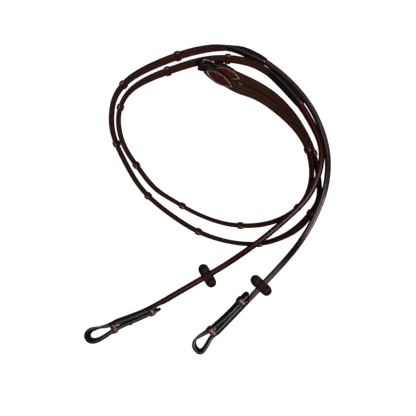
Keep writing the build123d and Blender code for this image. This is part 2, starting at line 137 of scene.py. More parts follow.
def smooth_line(points):
    """The line of a NURBS spline that has these points as its control points."""
    curve = bpy.data.curves.new("line", "CURVE")
    curve.dimensions = "3D"
    curve.resolution_u = 24
    spline = curve.splines.new("NURBS")
    spline.points.add(len(points) - 1)
    for knot, point in zip(spline.points, points):
        knot.co = (*point, 1)
    spline.order_u = 3
    spline.use_endpoint_u = True
    holder = bpy.data.objects.new("line", curve)
    bpy.context.scene.collection.objects.link(holder)
    bpy.context.view_layer.update()
    mesh = bpy.data.meshes.new_from_object(holder)
    found = [vertex.co.copy() for vertex in mesh.vertices]
    bpy.data.objects.remove(holder)
    bpy.data.meshes.remove(mesh)
    bpy.data.curves.remove(curve)
    return found


def directions(points):
    """The way of travel at each point of a line."""
    ends = [points[0]] + points + [points[-1]]
    return [(after - before).normalized() for before, after in zip(ends, ends[2:])]


def width_direction(travel, lean):
    """Up the width of a strap that leans to the right of its travel."""
    outward = travel.cross(Vector((0, 0, 1))).normalized()
    angle = math.radians(lean)
    return Vector((0, 0, math.cos(angle))) + outward * math.sin(angle)


class Route:
    """A smooth line through the middle of a strap, and a rail beside it that sets its lean."""

    def __init__(self, stations, seat=SEAT):
        middles = [Vector(station[:3]) + seat for station in stations]
        rails = []
        for middle, travel, station in zip(middles, directions(middles), stations):
            rails.append(middle + width_direction(travel, station[3]) * WEB_WIDE)
        self.points = smooth_line(middles)
        self.rail = smooth_line(rails)
        self.ways = directions(self.points)
        self.marks = [0.0]
        for before, after in zip(self.points, self.points[1:]):
            self.marks.append(self.marks[-1] + (after - before).length)
        self.length = self.marks[-1]

    def at(self, distance):
        distance = min(max(distance, 0.0), self.length)
        high = min(max(bisect_right(self.marks, distance), 1), len(self.marks) - 1)
        low = high - 1
        share = (distance - self.marks[low]) / (self.marks[high] - self.marks[low])
        origin = self.points[low].lerp(self.points[high], share)
        rail = self.rail[low].lerp(self.rail[high], share)
        return Place(origin, self.ways[low].lerp(self.ways[high], share), rail - origin)

    def nearest(self, point):
        """How far along the route a point lies."""
        return min(zip(self.marks, self.points), key=lambda pair: (pair[1] - point).length)[0]

    def stretch(self, start, end):
        """The points of the line between two distances."""
        inside = [point for mark, point in zip(self.marks, self.points) if start < mark < end]
        return [self.at(start).origin] + inside + [self.at(end).origin]


# ---- skins ----
class Skin:
    """Gathers one piece's faces, with a note at each point: along, across, and how near an edge."""

    def __init__(self):
        self.points = []
        self.notes = []
        self.faces = []

    def loft(self, rings, notes, loop=False):
        start = len(self.points)
        count = len(rings[0])
        for ring, ring_notes in zip(rings, notes):
            self.points.extend(ring)
            self.notes.extend(ring_notes)
        last = len(rings) if loop else len(rings) - 1
        for ring in range(last):
            here = start + ring * count
            after = start + (ring + 1) % len(rings) * count
            for k in range(count):
                j = (k + 1) % count
                self.faces.append((here + k, here + j, after + j, after + k))
        if not loop:
            self.faces.append(tuple(range(start + count - 1, start - 1, -1)))
            end = start + (len(rings) - 1) * count
            self.faces.append(tuple(range(end, end + count)))

    def piece(self, name, body, slot, finish, *nodes, crease=38):
        mesh = bpy.data.meshes.new(name)
        mesh.from_pydata(self.points, [], self.faces)
        made = mesh.attributes.new("lay", "FLOAT_VECTOR", "POINT")
        made.data.foreach_set("vector", [value for note in self.notes for value in note])
        work = bmesh.new()
        work.from_mesh(mesh)
        bmesh.ops.recalc_face_normals(work, faces=work.faces)
        work.to_mesh(mesh)
        work.free()
        mesh.polygons.foreach_set("use_smooth", [True] * len(mesh.polygons))
        mesh.set_sharp_from_angle(angle=math.radians(crease))
        mesh.materials.append(finish)
        made = bpy.data.objects.new(name, mesh)
        bpy.context.scene.collection.objects.link(made)
        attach(made, body)
        if nodes:
            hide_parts(*nodes)
        return made


def rounding(distance, radius):
    """From 0 at an edge to 1 a radius in from it, as a quarter circle rises."""
    share = min(max(distance / radius, 0.0), 1.0)
    return math.sqrt(1 - (1 - share) ** 2)


def swell(share):
    """A smooth rise from 0 to 1."""
    share = min(max(share, 0.0), 1.0)
    return share * share * (3 - 2 * share)


def draw_strap(skin, route, start, end, outline, side=1, step=STRAP_STEP, soft=0.0011):
    """A strap along a route. outline(from its start, to its end) gives points: out, up, edge."""
    length = end - start
    count = max(2, round(length / step))
    marks = {length * k / count for k in range(count + 1)}
    for near in (0.04, 0.15, 0.35, 0.65):
        marks |= {soft * near, length - soft * near}
    rings, notes = [], []
    for mark in sorted(marks):
        place = route.at(start + mark)
        section = outline(mark, length - mark)
        middle_out = (max(p[0] for p in section) + min(p[0] for p in section)) / 2
        thick = max(p[0] for p in section) - min(p[0] for p in section)
        end_round = rounding(min(mark, length - mark) + 0.00003, soft)
        keep = 1 - 0.7 * (1 - end_round) * min(1, soft / thick * 1.6)
        rings.append([place.to(side * (middle_out + (out - middle_out) * keep), up * (0.93 + 0.07 * keep))
                      for out, up, edge in section])
        notes.append([(start + mark, up, edge) for out, up, edge in section])
    skin.loft(rings, notes)


# ---- outlines across a strap: out, up, edge ----
def web_outline(from_start, to_end):
    """Ribbed webbing with rounded selvedges. The edge note is 1 on top of a rib."""
    half = WEB_WIDE / 2
    steps = WEB_RIBS * 6
    face = []
    for k in range(steps + 1):
        up = half * (2 * k / steps - 1)
        rib = 0.5 - 0.5 * math.cos(2 * math.pi * WEB_RIBS * k / steps)
        depth = (WEB_THICK / 2 - RIB_DEPTH * (1 - rib)) * (0.25 + 0.75 * rounding(half - abs(up), 0.0012))
        face.append((depth, up, rib))
    return face + [(-out, up, rib) for out, up, rib in reversed(face)]


def front_outline(from_start, to_end):
    """Raised leather: thin stitched margins, and a rounded middle over the filler cord."""
    half = RUN_WIDE / 2
    full = 0.45 + 0.55 * swell(from_start / 0.014)
    face = []
    for k in range(37):
        up = half * (2 * k / 36 - 1)
        edge = half - abs(up)
        bulge = math.sqrt(max(0.0, 1 - (up / BULGE_HALF) ** 2)) ** 0.85
        channel = math.exp(-((abs(up) - 0.00525) / 0.0003) ** 2)
        out = SEAM + MARGIN_THICK + (FRONT_FACE + 0.0002 - SEAM - MARGIN_THICK) * bulge * full
        out = out - 0.00025 * channel - 0.0009 * (1 - rounding(edge, 0.0009))
        face.append((out, up, 1 - min(1, edge / 0.0008)))
    return face + [(SEAM, half, 1), (SEAM, 0, 0), (SEAM, -half, 1)]


def flat_outline(low, high, width, round_edge, crease=0.0):
    """A flat layer with rounded edges, and a creased line near each edge of its outer face."""
    half = width / 2

    def outline(from_start, to_end):
        points = []
        for face, sign in ((high, -1), (low, 1)):
            for k in range(29):
                up = sign * -half * (2 * k / 28 - 1) * -1
                edge = half - abs(up)
                line = math.exp(-((edge - 0.0016) / 0.00028) ** 2) * crease
                inset = round_edge * (1 - rounding(edge, round_edge)) + line
                points.append((face + (inset if face == low else -inset), up, 1 - min(1, edge / 0.0008)))
        return points
    return outline


def backing_outline(from_start, to_end):
    """The flat backing, pared down where it begins."""
    flat = flat_outline(BACK_FACE, SEAM - 0.0001, RUN_WIDE, 0.0006)(from_start, to_end)
    pared = 0.3 + 0.7 * swell(from_start / 0.016)
    narrow = 0.62 + 0.38 * swell(from_start / 0.016)
    return [(SEAM + (out - SEAM) * pared, up * narrow, edge) for out, up, edge in flat]


def bit_outline(tip):
    """The bit strap, tapering to a rounded tip."""
    flat = flat_outline(-BIT_THICK / 2, BIT_THICK / 2, BIT_WIDE, 0.0011, 0.0003)

    def outline(from_start, to_end):
        narrow = 0.25 + 0.75 * rounding(to_end + 0.0002, tip)
        thin = 0.62 + 0.38 * swell(to_end / 0.016)
        root = 0.6 + 0.4 * swell(from_start / 0.01)
        return [(out * thin * root, up * narrow, edge) for out, up, edge in flat(0, 0)]
    return outline


# ---- bands, stitches and plies ----
BAND_PROFILE = [(-1, 0), (-1, 0.5), (-0.94, 0.86), (-0.83, 1.0), (-0.73, 1.0), (-0.66, 0.82), (-0.58, 1.03),
                (-0.2, 1.12), (0.2, 1.12), (0.58, 1.03), (0.66, 0.82), (0.73, 1.0), (0.83, 1.0),
                (0.94, 0.86), (1, 0.5), (1, 0)]


# Along a stitch: how far from its middle, how thick, and how deep it dips.
STITCH_PROFILE = [(-1, 0.45, 0.9), (-0.72, 0.95, 0.25), (0, 1.1, 0), (0.72, 0.95, 0.25), (1, 0.45, 0.9)]


def draw_band(skin, place, outs, ups, wall, long, corner=0.0011, flap=0.0):
    """Leather wrapped round a strap: a crowned ring with a creased line near each edge."""
    middle = (sum(outs) / 2, sum(ups) / 2)
    reach = ((outs[1] - outs[0]) / 2 - corner, (ups[1] - ups[0]) / 2 - corner)
    around = []
    for quarter, (sign_out, sign_up) in enumerate(((1, 1), (-1, 1), (-1, -1), (1, -1))):
        for k in range(7):
            angle = math.pi / 2 * (quarter + k / 6)
            normal = (math.cos(angle), math.sin(angle))
            spot = (sign_out * reach[0] + corner * normal[0], sign_up * reach[1] + corner * normal[1])
            around.append((*spot, normal))
        next_signs = ((-1, 1), (-1, -1), (1, -1), (1, 1))[quarter]
        for k in range(1, 8):
            share = k / 8
            out = sign_out + (next_signs[0] - sign_out) * share
            up = sign_up + (next_signs[1] - sign_up) * share
            angle = math.pi / 2 * (quarter + 1)
            normal = (math.cos(angle), math.sin(angle))
            around.append((out * reach[0] + corner * normal[0], up * reach[1] + corner * normal[1], normal))
    rings, notes = [], []
    distance = 0.0
    for out, up, normal in around:
        extra = 0
        if normal[0] > 0.9:
            extra = flap * swell((up - ups[0]) / 0.003) * swell((ups[1] * 0.35 - up) / 0.001)
        ring, ring_notes = [], []
        for along, rise in BAND_PROFILE:
            thick = (wall + extra) * rise
            pinch = 1 - 0.05 * abs(normal[1])
            ring.append(place.to(middle[0] + out + normal[0] * thick, middle[1] + up + normal[1] * thick,
                                 along * long / 2 * pinch))
            ring_notes.append((distance, along * long / 2, max(0.0, (abs(along) - 0.8) * 5)))
        rings.append(ring)
        notes.append(ring_notes)
        distance += 0.0012
    skin.loft(rings, notes, loop=True)


def draw_stitch(skin, centre, way, normal, long=0.0021, radius=0.00033):
    """One thread stitch: a rounded bar whose ends dip into the leather."""
    way = way.normalized()
    side = way.cross(normal).normalized()
    rise = side.cross(way).normalized()
    rings, notes = [], []
    for along, thick, dip in STITCH_PROFILE:
        middle = centre + way * (along * long / 2) - rise * (dip * radius)
        ring = []
        for k in range(7):
            angle = 2 * math.pi * k / 7
            ring.append(middle + (side * math.cos(angle) + rise * math.sin(angle)) * radius * thick)
        rings.append(ring)
        notes.append([(along * long, 0, 0)] * 7)
    skin.loft(rings, notes)


def stitch_run(skin, route, start, end, out, up, side, pitch=STITCH_PITCH, long=0.0022, radius=0.00024):
    """A row of stitches along one face of a strap."""
    count = int((end - start) / pitch)
    for k in range(count):
        place = route.at(start + (k + 0.5) * pitch)
        sign = 1 if out > 0 else -1
        draw_stitch(skin, place.to(side * out, up), place.travel, place.out * (side * sign), long, radius)


def draw_ply(skin, place, centre, radius, cut, low, high, side):
    """One round leather ply of a rein stop, cut straight beside the band, with a creased rim."""
    flat = []
    for k in range(37):
        angle = math.pi / 2 * (1 - 2 * k / 36)
        flat.append((centre + radius * math.cos(angle), radius * math.sin(angle)))
    for k in range(9):
        flat.append((cut, -radius * (1 - 2 * k / 8)))
    levels = [(0.0009, low), (0.0001, low + 0.0007), (0, (low + high) / 2), (0.0001, high - 0.0008),
              (0.0006, high - 0.0002), (0.0012, high), (0.0019, high), (0.0022, high - 0.0003),
              (0.0026, high), (0.0045, high + 0.0002)]
    rings, notes = [], []
    for inset, height in levels:
        shrink = 1 - inset / radius
        ring = []
        for out, along in flat:
            ring.append(place.to(side * (centre + (out - centre) * shrink), height, along * shrink))
        rings.append(ring)
        notes.append([(out, along, max(0.0, 1 - inset / 0.0012)) for out, along in flat])
    skin.loft(rings, notes)


# ---- finishes ----
class Tap:
    """One output in a finish. Arithmetic on it adds Math nodes, so that a pattern reads as a formula."""

    def __init__(self, tree, socket=None):
        self.tree = tree
        self.socket = socket

    def node(self, kind, settings=(), sockets=(), output=0):
        made = self.tree.nodes.new("ShaderNode" + kind)
        for name, value in dict(settings).items():
            setattr(made, name, value)
        for name, value in dict(sockets).items():
            if isinstance(value, Tap):
                self.tree.links.new(value.socket, made.inputs[name])
            else:
                made.inputs[name].default_value = value
        return Tap(self.tree, made.outputs[output] if made.outputs else None)

    def math(self, operation, *others):
        return self.node("Math", {"operation": operation}, enumerate((self, *others)))

    def __add__(self, other):
        return self.math("ADD", other)

    def __sub__(self, other):
        return self.math("SUBTRACT", other)

    def __rsub__(self, other):
        return self.node("Math", {"operation": "SUBTRACT"}, enumerate((other, self)))

    def __mul__(self, other):
        return self.math("MULTIPLY", other)

    def __truediv__(self, other):
        return self.math("DIVIDE", other)

    __radd__ = __add__
    __rmul__ = __mul__

    def between(self, low, high):
        """0 where the value is low, 1 where it is high, and no further."""
        return self.node("MapRange", (), {"Value": self, "From Min": low, "From Max": high})

    def mix(self, low, high):
        """One colour where the value is 0, the other where it is 1."""
        return self.node("Mix", {"data_type": "RGBA"}, {0: self, 6: low, 7: high}, 2)


def paint(red, green, blue):
    """A colour as a shader takes it, from its usual 0 to 255 values."""
    linear = []
    for value in (red, green, blue):
        share = value / 255
        linear.append(share / 12.92 if share <= 0.04045 else ((share + 0.055) / 1.055) ** 2.4)
    return (*linear, 1)


def start_finish(name):
    """An empty finish: its tap, the place on the object, and the three lay notes."""
    finish = bpy.data.materials.new(name)
    finish.use_nodes = True
    finish.node_tree.nodes.clear()
    root = Tap(finish.node_tree)
    place = root.node("TexCoord", output=3)
    lay = root.node("Attribute", {"attribute_name": "lay"}, output=1)
    along, across, edge = (root.node("SeparateXYZ", (), {0: lay}, k) for k in range(3))
    return finish, root, place, along, across, edge


def noise(place, scale, detail=3.0, roughness=0.55):
    sockets = {"Vector": place, "Scale": scale, "Detail": detail, "Roughness": roughness}
    return place.node("TexNoise", (), sockets)


def end_finish(root, colour, roughness, height, depth, strength=1.0, **fixed):
    """The surface: bump from a height, and whatever is the same all over set on the shader."""
    bump = root.node("Bump", (), {"Height": height, "Distance": depth, "Strength": strength})
    sockets = {"Base Color": colour, "Roughness": roughness, "Normal": bump}
    sockets.update({key.replace("_", " "): value for key, value in fixed.items()})
    surface = root.node("BsdfPrincipled", (), sockets)
    root.node("OutputMaterial", (), {"Surface": surface})


def leather(name, dark, light, edge_colour, gloss=0.3, grain=0.0011, shine=0.4, coat=0.12, lap=None):
    """Grained leather: pebbled cells, a cloudy dye, rubbed spots and a burnished cut edge.

    A lap colour, if given, is the dye of the first stretch of the strap."""
    finish, root, place, along, across, edge = start_finish(name)
    cloud = noise(place, 60, 4).between(0.32, 0.68)
    rubbed = noise(place, 330, 5, 0.65).between(0.56, 0.74)
    fine = noise(place, 2600, 3)
    cells = place.node("TexVoronoi", {"feature": "SMOOTH_F1"},
                       {"Vector": place, "Scale": 1 / grain, "Smoothness": 0.6, "Randomness": 0.95})
    pits = cells.between(0.1, 0.75)
    colour = cloud.mix(dark, light)
    colour = (pits * 0.35).mix(colour, dark)
    colour = (rubbed * 0.25).mix(colour, light)
    colour = (edge * 0.75).mix(colour, edge_colour)
    if lap:
        colour = along.between(0.07, 0.088).mix(lap, colour)
    roughness = gloss + (fine - 0.5) * 0.12 + rubbed * 0.1 + edge * 0.05
    height = (1 - pits) * 0.7 + fine * 0.3
    end_finish(root, colour, roughness, height, 0.00002, 0.5, Specular_IOR_Level=shine,
               Coat_Weight=coat, Coat_Roughness=0.2)
    return finish


def webbing(name):
    """Woven web: lengthwise ribs crossed by picks that step from rib to rib, with a little fluff. Its
    grooves and a few lengthwise furrow stripes are darkened in the colour: painted shade.
    """
    finish, root, place, along, across, rib = start_finish(name)
    column = (across / (WEB_WIDE / WEB_RIBS) + 0.5 * WEB_RIBS).math("FLOOR")
    pick = (along * (2 * math.pi / 0.0013) + column * math.pi).math("SINE") * 0.5 + 0.5
    twill = (along * (2 * math.pi / 0.0042) + across * 2600).math("SINE") * 0.5 + 0.5
    cloud = noise(place, 38, 4).between(0.3, 0.7)
    fluff = noise(place, 3800, 2)
    worn = noise(place, 140, 5, 0.7).between(0.5, 0.72)
    weave_height_and_groove_shade = rib * rib * (0.45 + pick * 0.55)
    # Dark lengthwise stripes every few ribs, in the colour only: painted shade of furrows between ridges.
    furrow_shade = (across * (2 * math.pi / 0.0053)).math("SINE").between(-0.2, 0.9)
    # The low parts of the weave, the grooves between ribs and between picks, take a dark brown: painted
    # shade in the hollows over the real weave pattern.
    colour = weave_height_and_groove_shade.mix(paint(34, 17, 13), cloud.mix(paint(104, 60, 45), paint(88, 51, 38)))
    colour = (furrow_shade * 0.75).mix(colour, paint(24, 12, 10))
    colour = (worn * weave_height_and_groove_shade * 0.4).mix(colour, paint(108, 62, 44))
    colour = (twill * 0.18).mix(colour, paint(28, 15, 12))
    height = weave_height_and_groove_shade + fluff * 0.5 + twill * 0.12
    end_finish(root, colour, 0.72 + fluff * 0.2, height, 0.00022, 0.9, Specular_IOR_Level=0.08)
    return finish


def thread(name, colour, shade):
    """Waxed thread with its twist."""
    finish, root, place, along, across, edge = start_finish(name)
    twist = (along * 9000).math("SINE") * 0.5 + 0.5
    fibre = noise(place, 4200, 2)
    dyed = (twist * 0.5 + fibre * 0.4).mix(colour, shade)
    end_finish(root, dyed, 0.7 + fibre * 0.2, twist + fibre, 0.00008, Specular_IOR_Level=0.15)
    return finish


def polished_steel(name, tint=(168, 164, 158)):
    """Plated steel with faint draw lines and dulled patches."""
    finish, root, place, along, across, edge = start_finish(name)
    dulled = noise(place, 420, 4).between(0.45, 0.75)
    lines = noise(place.node("Mapping", (), {"Vector": place, "Scale": (1, 9, 1)}), 1500, 2)
    colour = dulled.mix(paint(*tint), paint(*[value * 0.72 for value in tint]))
    end_finish(root, colour, 0.2 + dulled * 0.16 + lines * 0.08, lines, 0.00003, 0.5, Metallic=1.0)
    return finish


# Each leather: its dark dye, its light dye, its cut edge, gloss, grain, shine, coat and lap dye.
BLACK_LEATHER = leather("black_leather", paint(14, 9, 8), paint(26, 17, 15), paint(10, 7, 6), 0.3, 0.0009)
RED_LEATHER = leather("red_leather", paint(56, 9, 7), paint(78, 14, 10), paint(84, 14, 10),
                      0.45, 0.0010, 0.2, 0.0, paint(16, 9, 9))
BROWN_LEATHER = leather("brown_leather", paint(48, 13, 11), paint(72, 22, 17), paint(30, 10, 9),
                        0.34, 0.0008)
STOP_LEATHER = leather("stop_leather", paint(34, 9, 7), paint(48, 12, 9), paint(16, 6, 5),
                       0.6, 0.0010, 0.08, 0.0)
PLY_LEATHER = leather("ply_leather", paint(13, 8, 7), paint(22, 13, 11), paint(34, 19, 16),
                      0.5, 0.0010, 0.1, 0.0)
LEAF_LEATHER = leather("leaf_leather", paint(17, 10, 9), paint(32, 19, 17), paint(12, 7, 7), 0.36, 0.0010)
INLAY_LEATHER = leather("inlay_leather", paint(46, 9, 8), paint(66, 15, 13), paint(32, 7, 7),
                        0.5, 0.0012, 0.2, 0.0)
WEBBING = webbing("webbing")
DARK_THREAD = thread("dark_thread", paint(44, 29, 26), paint(22, 14, 12))
PINK_THREAD = thread("pink_thread", paint(206, 172, 160), paint(150, 112, 102))
STEEL = polished_steel("polished_steel")
DARK_METAL = polished_steel("dark_metal", (44, 36, 33))


# ---- one half ----
RUNS = {"a": Route(LEATHER_ROUTE_A), "b": Route(LEATHER_ROUTE_B)}
WEBS = {"a": Route(WEB_ROUTE_A), "b": Route(WEB_ROUTE_B)}
LEATHER_STATIONS = {"a": LEATHER_ROUTE_A, "b": LEATHER_ROUTE_B}
WEB_STATIONS = {"a": WEB_ROUTE_A, "b": WEB_ROUTE_B}
BIT_STATIONS = {"a": BIT_ROUTE_A, "b": BIT_ROUTE_B}
SIDES = {"a": 1, "b": -1}
LOOP_KEEPER_AT = {"a": (0.006, 0.0094), "b": (0.007, 0.0096)}
STUD_AT = {"a": (0.031, 0.0068), "b": (0.0445, 0.0066)}
TIP_KEEPER_AT = {"a": (0.065, 0.0058), "b": (0.068, 0.0078)}


def middle_of(node):
    low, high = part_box(node)
    return (low + high) / 2


def bit_route(half):
    """From the end of the raised front down the run, round the bit loop and back past the stud."""
    side, run = SIDES[half], RUNS[half]
    aside = side * (SEAM + LAY_GAP + BIT_THICK / 2)
    points = [Vector(station[:3]) for station in LEATHER_STATIONS[half][:4]]
    base = []
    for point, travel in zip(points[:3], directions(points)):
        place = point + travel.cross(width_direction(travel, 12)) * aside
        base.insert(0, (*place, -12))
    lap_end = run.at(BIT_LAP - LAY_GAP).to(aside, 0) - SEAT
    return Route([(*lap_end, -12)] + base + BIT_STATIONS[half])


def make_run(half):
    """The red backing, the raised front and their stitching."""
    run, side = RUNS[half], SIDES[half]
    skin = Skin()
    draw_strap(skin, run, 0, run.length, backing_outline, side)
    backing = skin.piece("backing_" + half, "reins", "red_leather", RED_LEATHER, "leather_backing_" + half)
    skin = Skin()
    draw_strap(skin, run, BIT_LAP, run.length, front_outline, side)
    front = skin.piece("rolled_front_skin_" + half, "reins", "black_leather", BLACK_LEATHER,
                       "rolled_front_" + half, "raised_filler_" + half)
    skin = Skin()
    for up in (-0.0053, 0.0053):
        stitch_run(skin, run, BIT_LAP + 0.004, run.length - 0.03, SEAM + MARGIN_THICK - 0.0001, up, side)
        stitch_run(skin, run, BIT_LAP + 0.004, run.length - 0.03, BACK_FACE, up, side)
    stitching = skin.piece("run_stitching_" + half, "reins", "thread", DARK_THREAD)
    path = run.stretch(BIT_LAP, run.length)


def draw_turned(place, side, profile, name, node):
    """A turned metal piece that stands out of the run, from its profile: out, radius."""
    rings, notes = [], []
    for out, radius in profile:
        ring = []
        for k in range(20):
            angle = math.pi * k / 10
            ring.append(place.to(side * out, radius * math.cos(angle), radius * math.sin(angle)))
        rings.append(ring)
        notes.append([(out, radius, 0)] * 20)
    skin = Skin()
    skin.loft(rings, notes)
    skin.piece(name, "reins", "steel", DARK_METAL, node)


def make_bit_strap(half):
    """The folded billet at the bit, its two keepers and its stud."""
    run, side = RUNS[half], SIDES[half]
    line = bit_route(half)
    skin = Skin()
    draw_strap(skin, line, 0, line.length, bit_outline(0.0075), 1, 0.0012)
    strap = skin.piece("bit_billet_" + half, "reins", "black_leather", BLACK_LEATHER, "bit_strap_" + half)
    keepers = {"loop_keeper": LOOP_KEEPER_AT[half], "tip_keeper": TIP_KEEPER_AT[half]}
    for name, (distance, lift) in keepers.items():
        skin = Skin()
        reach = sorted((side * 0.0, side * (lift + 0.0024)))
        draw_band(skin, run.at(distance), reach, (-0.0074, 0.0074), 0.0015, 0.009)
        skin.piece(name + "_wrap_" + half, "reins", "brown_leather", BROWN_LEATHER, name + "_" + half)
    skin = Skin()
    for up in (-0.0054, 0.0054):
        stitch_run(skin, run, 0.012, 0.06, BACK_FACE, up, side)
    skin.piece("lap_stitching_" + half, "reins", "thread", DARK_THREAD)
    distance, lift = STUD_AT[half]
    place = run.at(distance)
    root, head = SEAM + LAY_GAP, lift + BIT_THICK / 2
    burr = [(root, 0.002), (root, 0.0042), (root + 0.0003, 0.0045), (root + 0.001, 0.0043),
            (root + 0.001, 0.002)]
    draw_turned(place, side, burr, "stud_washer_" + half, "stud_burr_" + half)
    stud = [(root, 0.0012), (root, 0.002), (head, 0.002), (head, 0.0034), (head + 0.0006, 0.0035),
            (head + 0.0014, 0.0033), (head + 0.0021, 0.0023), (head + 0.0024, 0.0009)]
    draw_turned(place, side, stud, "stud_" + half, "hook_stud_" + half)


def make_rein_stop(half):
    """A band round the run, and a stack of round plies on each side of it."""
    run = RUNS[half]
    place = run.at(run.nearest(middle_of("stop_band_" + half)))
    body = "stop_slider_" + half
    skin = Skin()
    draw_band(skin, place, (-0.0042, 0.0042), (-0.0075, 0.0075), 0.0012, 0.0152)
    skin.piece("stop_wrap_" + half, body, "brown_leather", STOP_LEATHER, "stop_band_" + half)
    skin = Skin()
    plies = ((0.0103, 0.0076, -0.0085, -0.0043), (0.0103, 0.0077, -0.0042, 0.0),
             (0.0103, 0.0077, 0.0001, 0.0043), (0.0094, 0.0064, 0.0044, 0.0085))
    for side in (-1, 1):
        for centre, radius, low, high in plies:
            draw_ply(skin, place, centre, radius, 0.0055, low, high, side)
    skin.piece("stop_plies_" + half, body, "black_leather", PLY_LEATHER, "rein_stop_" + half)
    skin = Skin()
    for side in (-1, 1):
        for k in range(9):
            angle = math.radians(-100 + 25 * k)
            centre = place.to(side * (0.0092 + 0.0049 * math.cos(angle)), 0.0086, 0.0049 * math.sin(angle))
            way = place.travel * math.cos(angle) - place.out * side * math.sin(angle)
            if 0.0092 + 0.0049 * math.cos(angle) > 0.0066:
                draw_stitch(skin, centre, way, place.up, 0.0017, 0.00028)
    skin.piece("stop_stitching_" + half, body, "thread", DARK_THREAD)


def splice_belly(share):
    """Half the splice's thickness: over the run, fullest in the middle, thin on the web."""
    full = 0.0042 + 0.0019 * math.sin(math.pi * min(1, share * 1.15)) ** 0.8
    return full - 0.0014 * swell((share - 0.6) / 0.4)


def make_splice(half):
    """The leather spindle where the run meets the web, with two raised ridges and a seam."""
    line = Route(LEATHER_STATIONS[half][-3:] + WEB_STATIONS[half][1:2])
    on_web = (Vector(WEB_STATIONS[half][1][:3]) - Vector(WEB_STATIONS[half][0][:3])).length
    length = line.length - on_web + 0.012

    def outline(from_start, to_end):
        share = from_start / length
        belly = splice_belly(share)
        ends = 0.86 + 0.14 * rounding(min(from_start, to_end), 0.006)
        tall = (0.0080 + 0.0010 * math.sin(math.pi * share)) * ends
        points = []
        for k in range(64):
            angle = 2 * math.pi * k / 64
            cosine, sine = math.cos(angle), math.sin(angle)
            out = belly * math.copysign(abs(cosine) ** 0.55, cosine)
            up = tall * math.copysign(abs(sine) ** 0.7, sine)
            for ridge in (-1, 1):
                spot = ridge * 0.0042 * (1 - 0.75 * share)
                crest = math.exp(-((up - spot) / 0.00075) ** 2) * swell(to_end / 0.006)
                out += math.copysign(0.0007, out) * crest
            points.append((out, up, 0))
        return points

    skin = Skin()
    draw_strap(skin, line, 0, length, outline, 1, 0.0015, 0.0025)
    skin.piece("splice_wrap_" + half, "reins", "black_leather", BLACK_LEATHER, "splice_" + half)
    skin = Skin()
    for k in range(int(length / 0.003) - 3):
        mark = 0.003 * (k + 2)
        place = line.at(mark)
        for sign in (-1, 1):
            spot = place.to(sign * (splice_belly(mark / length) - 0.0002), 0.0015)
            draw_stitch(skin, spot, place.travel, place.out * sign, 0.002, 0.00024)
    skin.piece("splice_stitching_" + half, "reins", "thread", DARK_THREAD)


def make_web(half):
    """The ribbed web and its hand stops."""
    web = WEBS[half]
    skin = Skin()
    draw_strap(skin, web, 0, web.length, web_outline)
    made = skin.piece("web_" + half, "reins", "webbing", WEBBING, "web_grip_" + half)
    wraps, threads = [], Skin()
    for number in range(1, 9):
        node = "hand_stop_%s_%d" % (half, number)
        place = web.at(web.nearest(middle_of(node)))
        skin = Skin()
        draw_band(skin, place, (-0.0017, 0.0017), (-0.0083, 0.0083), 0.0013, 0.008, 0.0012, 0.0006)
        name = "stop_wrap_%s_%d" % (half, number)
        wraps.append(skin.piece(name, "reins", "brown_leather", BROWN_LEATHER, node))
        for sign in (-1, 1):
            for up in (-0.0045, -0.0015, 0.0015, 0.0045):
                spot = place.to(sign * 0.0032, up)
                draw_stitch(threads, spot, place.up, place.out * sign, 0.0019, 0.00026)
    wraps.append(threads.piece("hand_stop_stitching_" + half, "reins", "thread", DARK_THREAD))


# ---- the leaf ends ----
LEAF_NECK_AT = -0.021
LEAF_TIP_AT = {"a": 0.027, "b": 0.021}
LEAF_WIDE = 0.019
LEAF_THICK = 0.0062
LEAF_NECK = 0.012
INLAY_BORDER = 0.0036
INLAY_WIDE = 0.0118


def leaf_half(along, tip):
    """Half the leaf's width: full a third of the way from its neck, and pointed at its tip."""
    share = (along - LEAF_NECK_AT) / (tip - LEAF_NECK_AT)
    if share < 0.42:
        return LEAF_NECK / 2 + (LEAF_WIDE - LEAF_NECK) / 2 * math.sin(math.pi / 2 * share / 0.42)
    return LEAF_WIDE / 2 * (1 - ((share - 0.42) / 0.58) ** 2.1) + 0.0002


def inlay_half(along, tip):
    """Half the inlay's width, pointed at both ends."""
    low, high = LEAF_NECK_AT + INLAY_BORDER, tip - INLAY_BORDER
    share = min(1.0, max(0.0, (along - low) / (high - low)))
    return INLAY_WIDE / 2 * (1 - abs(2 * share ** 0.9 - 1) ** 2.0)


def leaf_height(along, up, tip):
    """Height of the leaf's face: a padded border round a sunk well."""
    edge = min((leaf_half(along, tip) - abs(up)) * 0.92, along - LEAF_NECK_AT + 0.0004)
    inside = inlay_half(along, tip) - abs(up)
    border = 0.0007 * math.sin(math.pi * min(1, max(0, edge) / 0.0042))
    well = 0.0008 * swell((inside + 0.0004) / 0.0007)
    return LEAF_THICK / 2 * (0.3 + 0.7 * rounding(edge, 0.0015)) + border - well


